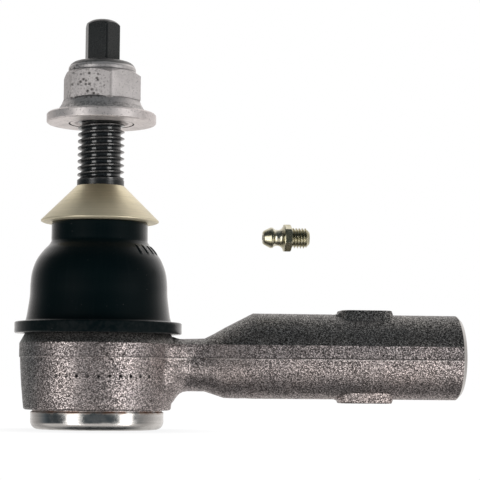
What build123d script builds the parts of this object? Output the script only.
from build123d import *
import math
import os

# Tie rod end with a female arm, a straight M14 stud with a conical seat, a flange lock nut
# and a loose grease fitting. Millimetres. The origin is the centre of the ball;
# +Z runs up the stud and +X runs along the arm.

GAP = 0.05               # left between most neighbouring pieces

# ---------------------------------------------------------------- stud
BALL_R = 13.5
BALL_FLAT_Z = -10.5      # flat under the ball
NECK_R = 6.2             # neck above the ball
NECK_TOP_Z = 27.0
SHOULDER_R = 8.5         # journal that the boot bushing turns on
SHOULDER_Z = 34.0        # its lower end
SHANK_R = 7.0            # M14 shank
THREAD_PITCH = 2.0       # M14 x 2
THREAD_ROOT_R = 5.85
THREAD_CREST_R = 6.95
THREAD_START_Z = 56.6    # thread run-out above the seat cone
THREAD_END_Z = 90.0
THREAD_RUN_IN = 1.4      # length of helix inside the plain shank
TIP_AF = 9.53            # 3/8 inch hexagon on the stud's end
TIP_TOP_Z = 105.1
TIP_TURN = -23.5         # turn of the tip's hexagon about Z, degrees

# ---------------------------------------------------------------- seat cone
CONE_BORE_R = 7.03
CONE_TOP_Z = 54.9
CONE_RIM_R = 17.45
CONE_RIM_Z = 44.6
CONE_BOTTOM_Z = 44.0

# ---------------------------------------------------------------- socket
BORE_R = 17.5            # bearing bore
SOCKET_R = 22.85         # outer skin just below the parting land
SKIRT_R = 19.55          # turned skirt that is rolled over the cover
SKIRT_ROUND = 2.4        # round on the skirt's lower edge
SKIRT_TOP_Z = -11.3
BOTTOM_Z = -17.0
SOCKET_TOP_Z = 10.95     # seat for the boot's base
SPIGOT_R = 19.1          # spigot inside the boot's base ring
SPIGOT_TOP_Z = 14.6
COVER_STEP_Z = -12.8
COVER_BORE_R = 18.2
LIP_Z = -15.05
LIP_R = 14.8
OPENING_R = 12.4         # smallest radius of the stud opening
OPENING_Z = 8.7
BORE_TOP_Z = OPENING_Z + OPENING_R - BORE_R  # foot of the bore's 45 degree roof
DOT_COUNT = 10           # row of punch marks
DOT_Z = -1.5
DOT_R = 0.6
DOT_START = -123.6       # degrees from +X
DOT_STEP = 8.02

# ---------------------------------------------------------------- arm
ARM_Z = 5.0              # arm axis above the ball centre
ARM_R = 12.7
ARM_FULL_X = 46.0        # where the arm reaches its full round
ARM_END_X = 108.7
ARM_CHAMFER = 1.1
ARM_BORE_R = 8.188       # M18 x 1.5 tapping size
ARM_BORE_DEPTH = 62.0
DRILL_POINT = 4.6
COUNTERSINK_DEPTH = 0.9
BAND_LOW_Z = 4.1         # trimmed parting land of the forging
BAND_HIGH_Z = 8.1
BAND_R = ARM_R + 0.22    # half width of the land along the arm
BAND_START_X = 18.4
BAND_END_X = ARM_END_X - 2.6
PAD_X = 79.9             # wrench pads on the arm
PAD_LENGTH = 15.4
PAD_WIDTH = 11.8
PAD_TOP = 13.9           # heights from the arm axis
PAD_BOTTOM = 13.85
PAD_ROOT = 9.0
PAD_DRAFT = 1.4
RUN_OUT_X = 70.6         # where the pads' run-out towards the neck starts
RUN_OUT_END_X = 76.0
RUN_OUT_HALF_WIDTH = 3.6

# ---------------------------------------------------------------- boot
FLANGE_R = 24.65
FLANGE_BOTTOM_Z = 11.0
FLANGE_TOP_Z = 15.0
FLANGE_BORE_R = 21.45
COLLAR_R = 14.25
COLLAR_BORE_R = 11.55
COLLAR_TOP_Z = 43.8
BUSHING_R = 10.4

# ---------------------------------------------------------------- nut and washer
NUT_AF = 21.0
NUT_TURN = -21.3         # turn of the nut's hexagon about Z, degrees
NUT_BORE_R = 7.02
NUT_BOTTOM_Z = 73.68
NUT_TOP_Z = 92.1
WASHER_R = 16.3
WASHER_BORE_R = 9.2
WASHER_BOTTOM_Z = 73.6
WASHER_TOP_Z = 76.6
NUT_SEAT_Z = WASHER_TOP_Z + GAP
NUT_FLANGE_R = 13.35
HEX_BOTTOM_Z = 80.2
HEX_OVERLAP = 0.2        # hexagon sunk into the flange
HEX_TOP_Z = 89.0
CROWN_R = 10.05

# ---------------------------------------------------------------- grease fitting
FIT_X = 48.8             # head end of the loose fitting
FIT_Z = 40.5
FIT_SHANK_R = 2.55
FIT_HEX_AF = 7.14
FIT_HEX_TURN = 24
FIT_PITCH = 0.907        # 1/4-28 thread
PORT_R = 2.72            # tapping size of the same thread, in the cover
GREASE_WAY_R = 1.45
CHECK_BALL_R = 1.2
COIL_PITCH = 1.1
COIL_R = 1.1
COIL_LENGTH = 7.7
COIL_WIRE_R = 0.16

ARM_AXIS = Axis((0, 0, ARM_Z), (1, 0, 0))
FIT_AXIS = Axis((0, 0, FIT_Z), (1, 0, 0))

# elliptical sections of the neck: x, centre z, half width, half height
NECK_SECTIONS = [
    (18.2, -0.2, 13.0, 10.9), (19.9, 0.0, 12.6, 10.65), (21.3, 0.35, 12.05, 10.25),
    (22.3, 0.8, 11.5, 9.6), (23.2, 1.3, 11.0, 8.75), (24.1, 1.7, 10.55, 8.15),
    (25.2, 1.98, 10.2, 7.85), (26.6, 2.12, 9.97, 7.76), (31.6, 2.2, 9.9, 7.85),
    (34.4, 2.45, 10.4, 9.0), (37.5, 2.85, 11.2, 10.4), (41.5, 3.85, 12.1, 11.5),
]

# edge of the parting land beside the neck: x, y
BAND_EDGE = [
    (BAND_START_X, 13.3), (20.4, 12.7), (22.3, 11.9), (24.4, 10.75), (27.5, 10.15),
    (31.0, 10.2), (34.4, 10.75), (37.5, 11.5), (41.5, 12.4), (ARM_FULL_X, BAND_R),
]

# walls of the boot: radius, z
BOOT_OUTER = [
    (21.15, 16.0), (20.75, 18.6), (20.3, 22.2), (20.18, 25.7), (19.7, 29.3),
    (18.4, 32.8), (16.5, 35.5), (14.76, 37.3), (COLLAR_R, 38.6),
]
BOOT_INNER = [
    (COLLAR_BORE_R, 37.2), (13.2, 35.3), (15.5, 32.4), (17.2, 28.8), (17.9, 25.0),
    (18.1, 21.5), (18.5, 18.0), (18.9, 15.6),
]


# ================================================================ helpers
def turned(*outline):
    """Solid turned about Z from an outline of (radius, z) points."""
    with BuildPart() as body:
        with BuildSketch(Plane.XZ):
            Polygon(*outline, align=None)
        revolve(axis=Axis.Z)
    return body.part


def half_chord(radius, offset):
    """Half the chord of a circle at an offset from its centre."""
    return math.sqrt(radius**2 - offset**2)


def polar(radius, degrees):
    angle = math.radians(degrees)
    return (radius * math.cos(angle), radius * math.sin(angle))


def on_fitting(*points):
    """XZ points from (distance behind the fitting's head end, radius) pairs."""
    return [(FIT_X + along, FIT_Z + radius) for along, radius in points]


# ================================================================ housing
def parting_land():
    """Trimmed land along both sides of the neck and arm."""
    with BuildPart() as body:
        with BuildSketch(Plane.XY.offset(BAND_LOW_Z)):
            with BuildLine():
                Line((BAND_START_X, 0), BAND_EDGE[0])
                Spline(*BAND_EDGE, tangents=[(1, -0.25), (1, 0)])
                Polyline(BAND_EDGE[-1], (BAND_END_X, BAND_R), (BAND_END_X, 0), (BAND_START_X, 0))
            make_face()
            mirror(about=Plane.XZ)
        extrude(amount=BAND_HIGH_Z - BAND_LOW_Z)
    return body.part


def wrench_pad(side, height):
    """Pad above (side 1) or below (side -1) the arm, drawn in towards its outer face."""
    with BuildPart() as body:
        with BuildSketch(Plane.XY.offset(ARM_Z + side * PAD_ROOT)):
            with Locations((PAD_X, 0)):
                RectangleRounded(PAD_LENGTH + PAD_DRAFT * 2, PAD_WIDTH + PAD_DRAFT * 2, 4.2)
        with BuildSketch(Plane.XY.offset(ARM_Z + side * height)):
            with Locations((PAD_X, 0)):
                RectangleRounded(PAD_LENGTH, PAD_WIDTH, 3.0)
        loft()
        outer_face = body.faces().sort_by(Axis.Z)[-1 if side > 0 else 0]
        fillet(outer_face.edges(), 0.5)
    return body.part


def pad_run_outs():
    """Run-out of each pad towards the neck."""
    with BuildPart() as body:
        with BuildSketch(Plane.XZ):
            for side, height in ((1, PAD_TOP), (-1, PAD_BOTTOM)):
                outer_z = ARM_Z + side * (height - 0.3)
                inner_z = ARM_Z + side * 10.5
                Polygon(
                    (RUN_OUT_X, ARM_Z + side * 12.5), (73.3, outer_z), (RUN_OUT_END_X, outer_z),
                    (RUN_OUT_END_X, inner_z), (RUN_OUT_X, inner_z), align=None,
                )
        extrude(amount=RUN_OUT_HALF_WIDTH, both=True)
    return body.part


def housing():
    land = parting_land()
    run_outs = pad_run_outs()
    top_pad = wrench_pad(1, PAD_TOP)
    bottom_pad = wrench_pad(-1, PAD_BOTTOM)

    with BuildPart() as body:
        # socket: outer skin, boot seat, stud opening, bearing bore, cover step and lip
        with BuildSketch(Plane.XZ):
            with BuildLine():
                skirt_foot = (SKIRT_R - SKIRT_ROUND, BOTTOM_Z)
                skirt_side = (SKIRT_R, BOTTOM_Z + SKIRT_ROUND)
                Line((LIP_R + 0.5, BOTTOM_Z), skirt_foot)
                RadiusArc(skirt_foot, skirt_side, -SKIRT_ROUND)
                Polyline(
                    skirt_side, (SKIRT_R, -11.95), (SKIRT_R - 0.45, -11.75),
                    (SKIRT_R - 0.45, SKIRT_TOP_Z), (20.9, SKIRT_TOP_Z),
                )
                RadiusArc((20.9, SKIRT_TOP_Z), (21.7, -10.5), -0.8)
                ThreePointArc((21.7, -10.5), (22.42, -3.3), (SOCKET_R, BAND_LOW_Z - 0.2))
                Polyline(
                    (SOCKET_R, BAND_LOW_Z - 0.2),
                    (23.1, BAND_LOW_Z),
                    (23.1, BAND_HIGH_Z),
                    (22.2, 9.75),
                    (21.55, SOCKET_TOP_Z),
                    (SPIGOT_R, SOCKET_TOP_Z),
                    (SPIGOT_R, SPIGOT_TOP_Z - 0.4),
                    (SPIGOT_R - 0.4, SPIGOT_TOP_Z),
                    (15.2, SPIGOT_TOP_Z),
                    (OPENING_R, OPENING_Z),
                    (BORE_R, BORE_TOP_Z),
                    (BORE_R, COVER_STEP_Z),
                    (COVER_BORE_R, COVER_STEP_Z),
                    (COVER_BORE_R, LIP_Z),
                    (LIP_R, LIP_Z),
                    (LIP_R, BOTTOM_Z + 0.5),
                    (LIP_R + 0.5, BOTTOM_Z),
                )
            make_face()
        revolve(axis=Axis.Z)

        # neck: a waisted bar that flares into the socket and opens out into the arm
        for x, centre_z, half_width, half_height in NECK_SECTIONS:
            with BuildSketch(Plane.YZ.offset(x)):
                with Locations((0, centre_z)):
                    Ellipse(half_width, half_height)
        with BuildSketch(Plane.YZ.offset(ARM_FULL_X)):
            with Locations((0, ARM_Z)):
                Circle(ARM_R)
        loft(ruled=True)

        # arm: a turned bar with a chamfered end
        with BuildSketch(Plane.XZ):
            Polygon(
                (ARM_FULL_X, ARM_Z),
                (ARM_FULL_X, ARM_Z + ARM_R),
                (ARM_END_X - ARM_CHAMFER, ARM_Z + ARM_R),
                (ARM_END_X, ARM_Z + ARM_R - ARM_CHAMFER),
                (ARM_END_X, ARM_Z),
                align=None,
            )
        revolve(axis=ARM_AXIS)

        add(land)
        add(run_outs)
        add(top_pad)
        add(bottom_pad)

        # bore of the arm at its tapping size, with a drill point and a countersink
        bore_end_x = ARM_END_X - ARM_BORE_DEPTH
        with BuildSketch(Plane.XZ):
            Polygon(
                (ARM_END_X + 1, ARM_Z),
                (ARM_END_X + 1, ARM_Z + ARM_BORE_R + COUNTERSINK_DEPTH + 1),
                (ARM_END_X - COUNTERSINK_DEPTH, ARM_Z + ARM_BORE_R),
                (bore_end_x, ARM_Z + ARM_BORE_R),
                (bore_end_x - DRILL_POINT, ARM_Z),
                align=None,
            )
        revolve(axis=ARM_AXIS, mode=Mode.SUBTRACT)

        # row of small punch marks round the -Y side of the socket
        for k in range(DOT_COUNT):
            x, y = polar(SOCKET_R, DOT_START + DOT_STEP * k)
            with Locations((x, y, DOT_Z)):
                Sphere(DOT_R, mode=Mode.SUBTRACT)
    return body.part


# ================================================================ ball stud
def hexagon_tip():
    """Hexagonal end of the stud with a crowned top."""
    foot_z = THREAD_END_Z - 0.5
    with BuildPart() as body:
        with BuildSketch(Plane.XY.offset(foot_z)):
            RegularPolygon(TIP_AF / 2, 6, major_radius=False, rotation=TIP_TURN)
        extrude(amount=TIP_TOP_Z - foot_z)
        with BuildSketch(Plane.XZ):
            with BuildLine():
                crown_foot = (5.9, TIP_TOP_Z - 3.0)
                crown_top = (2.2, TIP_TOP_Z - 0.12)
                Polyline((0, TIP_TOP_Z), (0, 80), (5.9, 80), crown_foot)
                ThreePointArc(crown_foot, (4.35, TIP_TOP_Z - 0.95), crown_top)
                Line(crown_top, (0, TIP_TOP_Z))
            make_face()
        revolve(axis=Axis.Z, mode=Mode.INTERSECT)
    return body.part


def ball_stud():
    tip = hexagon_tip()
    flat_edge = (half_chord(BALL_R, BALL_FLAT_Z), BALL_FLAT_Z)
    neck_foot = (NECK_R, half_chord(BALL_R, NECK_R))
    shoulder_top_z = CONE_BOTTOM_Z - GAP
    thread_depth = THREAD_CREST_R - THREAD_ROOT_R

    with BuildPart() as body:
        with BuildSketch(Plane.XZ):
            with BuildLine():
                Line((0, BALL_FLAT_Z), flat_edge)
                ThreePointArc(flat_edge, (BALL_R, 0), neck_foot)
                Polyline(
                    neck_foot,
                    (NECK_R, NECK_TOP_Z),
                    (SHOULDER_R, SHOULDER_Z),
                    (SHOULDER_R, shoulder_top_z),
                    (SHANK_R, shoulder_top_z),
                    (SHANK_R, THREAD_START_Z),
                    (THREAD_ROOT_R, THREAD_START_Z + 0.9),
                    (THREAD_ROOT_R, THREAD_END_Z + 0.8),
                    (0, THREAD_END_Z + 0.8),
                    (0, BALL_FLAT_Z),
                )
            make_face()
        revolve(axis=Axis.Z)

        add(tip)

        # M14 x 2 right-hand thread; its lower end dies into the plain shank
        with BuildLine():
            ridge = Helix(
                pitch=THREAD_PITCH,
                height=THREAD_END_Z - THREAD_START_Z + THREAD_RUN_IN,
                radius=THREAD_ROOT_R,
                center=(0, 0, THREAD_START_Z - THREAD_RUN_IN),
            )
        with BuildSketch(Plane(origin=ridge @ 0, x_dir=(1, 0, 0), z_dir=ridge % 0)):
            Polygon(
                (-0.3, -0.86), (thread_depth, -0.15), (thread_depth, 0.15), (-0.3, 0.86),
                align=None,
            )
        sweep(path=ridge, is_frenet=True)

        # chamfer on the thread's top turns
        with BuildSketch(Plane.XZ):
            Polygon(
                (7.6, THREAD_END_Z - 1.9), (5.6, THREAD_END_Z + 0.4),
                (5.6, THREAD_END_Z + 2.5), (7.6, THREAD_END_Z + 2.5), align=None,
            )
        revolve(axis=Axis.Z, mode=Mode.SUBTRACT)
    return body.part


def seat_cone():
    return turned(
        (CONE_BORE_R, CONE_BOTTOM_Z),
        (CONE_RIM_R - 0.5, CONE_BOTTOM_Z),
        (CONE_RIM_R, CONE_BOTTOM_Z + 0.25),
        (CONE_RIM_R, CONE_RIM_Z),
        (CONE_BORE_R + 0.07, CONE_TOP_Z),
        (CONE_BORE_R, CONE_TOP_Z - 0.05),
    )


# ================================================================ bearings
BEARING_R = BORE_R - GAP
BALL_SEAT_R = BALL_R + GAP
UPPER_FOOT_Z = -0.3
UPPER_TOP_Z = 8.3
UPPER_MOUTH_R = 11.3
LOWER_TOP_Z = -0.9
LOWER_FOOT_Z = -12.0
LOWER_MOUTH_R = 9.2


def upper_bearing():
    seat_foot = (half_chord(BALL_SEAT_R, UPPER_FOOT_Z), UPPER_FOOT_Z)
    seat_top = (UPPER_MOUTH_R, half_chord(BALL_SEAT_R, UPPER_MOUTH_R))
    with BuildPart() as body:
        with BuildSketch(Plane.XZ):
            with BuildLine():
                ThreePointArc(seat_foot, polar(BALL_SEAT_R, 15), seat_top)
                Polyline(
                    seat_top, (UPPER_MOUTH_R, UPPER_TOP_Z), (12.7, UPPER_TOP_Z),
                    (BEARING_R, BORE_TOP_Z - GAP), (BEARING_R, UPPER_FOOT_Z), seat_foot,
                )
            make_face()
        revolve(axis=Axis.Z)
    return body.part


def lower_bearing():
    seat_top = (half_chord(BALL_SEAT_R, LOWER_TOP_Z), LOWER_TOP_Z)
    seat_foot = (LOWER_MOUTH_R, -half_chord(BALL_SEAT_R, LOWER_MOUTH_R))
    with BuildPart() as body:
        with BuildSketch(Plane.XZ):
            with BuildLine():
                ThreePointArc(seat_top, polar(BALL_SEAT_R, -25), seat_foot)
                Polyline(
                    seat_foot, (LOWER_MOUTH_R, LOWER_FOOT_Z), (BORE_R - 0.8, LOWER_FOOT_Z),
                    (BEARING_R, -11.3), (BEARING_R, LOWER_TOP_Z), seat_top,
                )
            make_face()
        revolve(axis=Axis.Z)
    return body.part


# ================================================================ spring washer and cover
COVER_R = COVER_BORE_R - GAP
SEAL_TOP_Z = COVER_STEP_Z - 0.02


def preload_spring():
    """Dished spring washer between the lower bearing and the cover."""
    return turned((10.0, -12.03), (10.0, -12.72), (16.6, -13.37), (16.6, -12.68))


def cover_seal():
    return turned(
        (16.85, -13.38), (COVER_R, -13.38), (COVER_R, SEAL_TOP_Z), (17.0, SEAL_TOP_Z),
        (16.85, COVER_STEP_Z - 0.2),
    )


def cover_plate():
    """Pressed plate with a drawn boss, bored for the grease fitting."""
    return turned(
        (PORT_R, -17.3), (5.0, -17.3), (5.6, -16.7), (5.6, -15.9), (6.4, -15.0),
        (COVER_R, -15.0), (COVER_R, -13.4), (7.4, -13.4), (5.9, -13.9), (PORT_R, -13.9),
    )


# ================================================================ dust boot and its rings
def dust_boot():
    with BuildPart() as body:
        with BuildSketch(Plane.XZ):
            with BuildLine():
                Polyline(
                    (FLANGE_BORE_R, FLANGE_BOTTOM_Z), (FLANGE_R - 0.3, FLANGE_BOTTOM_Z),
                    (FLANGE_R, FLANGE_BOTTOM_Z + 0.3), (FLANGE_R, FLANGE_TOP_Z - 0.5),
                    (FLANGE_R - 0.5, FLANGE_TOP_Z), (21.8, FLANGE_TOP_Z), BOOT_OUTER[0],
                )
                Spline(*BOOT_OUTER)
                Polyline(
                    BOOT_OUTER[-1], (COLLAR_R, COLLAR_TOP_Z), (COLLAR_BORE_R, COLLAR_TOP_Z),
                    BOOT_INNER[0],
                )
                Spline(*BOOT_INNER)
                Polyline(
                    BOOT_INNER[-1], (18.9, 14.8), (FLANGE_BORE_R, 14.8),
                    (FLANGE_BORE_R, FLANGE_BOTTOM_Z),
                )
            make_face()
        revolve(axis=Axis.Z)
    return body.part


def sleeve(inner_r, outer_r, bottom_z, top_z):
    return turned((inner_r, bottom_z), (outer_r, bottom_z), (outer_r, top_z), (inner_r, top_z))


def boot_base_ring():
    """Steel ring inside the boot's base, pushed over the socket's spigot."""
    return sleeve(SPIGOT_R + 0.03, FLANGE_BORE_R - GAP, FLANGE_BOTTOM_Z + 0.02, 14.72)


def boot_bushing():
    """Plastic sleeve that the stud's journal turns in."""
    return sleeve(SHOULDER_R + GAP, BUSHING_R, 37.6, COLLAR_TOP_Z - GAP)


def boot_collar_ring():
    """Steel ring that keeps the boot's collar round."""
    return sleeve(BUSHING_R + 0.03, COLLAR_BORE_R - GAP, 38.0, 43.4)


# ================================================================ nut and washer
def nut_washer():
    return turned(
        (9.65, WASHER_BOTTOM_Z), (WASHER_R - 0.35, WASHER_BOTTOM_Z),
        (WASHER_R, WASHER_BOTTOM_Z + 0.35), (WASHER_R, WASHER_TOP_Z - 0.45),
        (WASHER_R - 0.45, WASHER_TOP_Z), (WASHER_BORE_R, WASHER_TOP_Z),
        (WASHER_BORE_R, 74.95), (9.65, 74.45),
    )


def flange_nut():
    hex_foot_z = HEX_BOTTOM_Z - HEX_OVERLAP
    with BuildPart() as body:
        with BuildSketch(Plane.XY.offset(hex_foot_z)):
            RegularPolygon(NUT_AF / 2, 6, major_radius=False, rotation=NUT_TURN)
        extrude(amount=HEX_TOP_Z - hex_foot_z)

        # conical chamfer over the hexagon's corners, and a small one below
        with BuildSketch(Plane.XZ):
            Polygon(
                (0, HEX_TOP_Z), (10.15, HEX_TOP_Z), (12.4, HEX_TOP_Z - 1.75),
                (12.4, HEX_BOTTOM_Z + 0.4), (11.6, hex_foot_z), (0, hex_foot_z),
                align=None,
            )
        revolve(axis=Axis.Z, mode=Mode.INTERSECT)

        # barrel that carries the washer, flange and crown
        with BuildSketch(Plane.XZ):
            with BuildLine():
                flange_edge = (NUT_FLANGE_R, NUT_SEAT_Z + 0.5)
                flange_top = (11.55, HEX_BOTTOM_Z)
                crown_edge = (CROWN_R, HEX_TOP_Z + 1.0)
                crown_top = (7.8, NUT_TOP_Z)
                Polyline(
                    (6.5, NUT_BOTTOM_Z), (9.3, NUT_BOTTOM_Z), (9.5, NUT_BOTTOM_Z + 0.2),
                    (9.5, 74.4), (9.08, 74.85), (9.08, NUT_SEAT_Z),
                    (NUT_FLANGE_R - 0.15, NUT_SEAT_Z), (NUT_FLANGE_R, NUT_SEAT_Z + 0.15),
                    flange_edge,
                )
                ThreePointArc(flange_edge, (12.2, NUT_SEAT_Z + 2.05), flange_top)
                Polyline(
                    flange_top, (9.5, HEX_BOTTOM_Z + 1), (9.5, HEX_TOP_Z - 0.6),
                    (CROWN_R, HEX_TOP_Z - 0.5), crown_edge,
                )
                ThreePointArc(crown_edge, (9.15, HEX_TOP_Z + 2.45), crown_top)
                Polyline(crown_top, (6.5, NUT_TOP_Z), (6.5, NUT_BOTTOM_Z))
            make_face()
        revolve(axis=Axis.Z)

        # bore clear of the thread's crests, lead-in below, and pocket for the locking ring
        with BuildSketch(Plane.XZ):
            Polygon(
                (0, 73), (8.1, 73), (8.1, NUT_BOTTOM_Z), (NUT_BORE_R, 74.8), (NUT_BORE_R, 89.4),
                (8.3, 89.4), (8.3, 91.2), (7.75, 91.4), (7.75, 93), (0, 93), align=None,
            )
        revolve(axis=Axis.Z, mode=Mode.SUBTRACT)
    return body.part


def locking_ring():
    """Nylon ring held in the nut's crown."""
    return turned(
        (NUT_BORE_R, 89.45), (8.27, 89.45), (8.27, 91.15), (7.4, 91.35), (NUT_BORE_R, 91.0),
    )


# ================================================================ grease fitting
def fitting_hexagon():
    """Hexagon of the fitting, with its corners turned down."""
    with BuildPart() as body:
        with BuildSketch(Plane.YZ.offset(FIT_X + 6.4)):
            with Locations((0, FIT_Z)):
                RegularPolygon(FIT_HEX_AF / 2, 6, major_radius=False, rotation=FIT_HEX_TURN)
        extrude(amount=2.1)
        with BuildSketch(Plane.XZ):
            corners = on_fitting(
                (6, 0), (6, 3.75), (6.7, 4.15), (8.2, 4.15), (8.6, 3.75), (8.6, 0),
            )
            Polygon(*corners, align=None)
        revolve(axis=FIT_AXIS, mode=Mode.INTERSECT)
    return body.part


def grease_fitting():
    hexagon = fitting_hexagon()
    with BuildPart() as body:
        # coupler head and waist
        with BuildSketch(Plane.XZ):
            with BuildLine():
                Polyline(*on_fitting(
                    (0, 0), (0, 1.75), (0.35, 2.1), (2.3, 3.1), (2.9, 3.1),
                ))
                ThreePointArc(*on_fitting((2.9, 3.1), (4.6, 2.4), (6.3, 4.0)))
                Polyline(*on_fitting((6.3, 4.0), (6.5, 4.1), (6.5, 0), (0, 0)))
            make_face()
        revolve(axis=FIT_AXIS)

        # shank
        with BuildSketch(Plane.YZ.offset(FIT_X + 6.3)):
            with Locations((0, FIT_Z)):
                Circle(FIT_SHANK_R)
        extrude(amount=7.7)

        add(hexagon)

        # 1/4-28 thread
        thread_start = (FIT_X + 8.3, 0, FIT_Z)
        with BuildLine():
            ridge = Helix(
                pitch=FIT_PITCH, height=5.2, radius=FIT_SHANK_R,
                center=thread_start, direction=(1, 0, 0),
            )
        outward = ((ridge @ 0) - Vector(thread_start)).normalized()
        with BuildSketch(Plane(origin=ridge @ 0, x_dir=outward, z_dir=ridge % 0)):
            Polygon((-0.2, -0.38), (0.52, -0.06), (0.52, 0.06), (-0.2, 0.38), align=None)
        sweep(path=ridge, is_frenet=True)

        # chamfer on the thread's far end
        with BuildSketch(Plane.XZ):
            Polygon(*on_fitting((12.55, 3.4), (14.1, 1.85), (14.1, 3.4)), align=None)
        revolve(axis=FIT_AXIS, mode=Mode.SUBTRACT)

        # grease way: mouth, ball seat, ball and spring bore
        with BuildSketch(Plane.XZ):
            way = on_fitting(
                (-0.1, 0), (-0.1, 0.85), (0.3, 0.85), (0.95, GREASE_WAY_R),
                (14.1, GREASE_WAY_R), (14.1, 0),
            )
            Polygon(*way, align=None)
        revolve(axis=FIT_AXIS, mode=Mode.SUBTRACT)
    return body.part


def check_ball():
    with BuildPart() as body:
        with Locations((FIT_X + 1.5, 0, FIT_Z)):
            Sphere(CHECK_BALL_R)
    return body.part


def check_spring():
    """Light coil spring behind the ball."""
    with BuildPart() as body:
        with BuildLine():
            coil = Helix(
                pitch=COIL_PITCH, height=COIL_LENGTH, radius=COIL_R,
                center=(FIT_X + 2.9, 0, FIT_Z), direction=(1, 0, 0),
            )
        with BuildSketch(Plane(origin=coil @ 0, z_dir=coil % 0)):
            Circle(COIL_WIRE_R)
        sweep(path=coil, is_frenet=True)
    return body.part


# ================================================================ export
# each piece's label and file take the name of its function
PIECES = (
    housing, ball_stud, seat_cone, upper_bearing, lower_bearing, preload_spring,
    cover_seal, cover_plate, dust_boot, boot_base_ring, boot_bushing, boot_collar_ring,
    nut_washer, flange_nut, locking_ring, grease_fitting, check_ball, check_spring,
)

os.makedirs("parts", exist_ok=True)
for make_piece in PIECES:
    piece = make_piece()
    piece.label = make_piece.__name__
    export_step(piece, f"parts/{piece.label}.step")
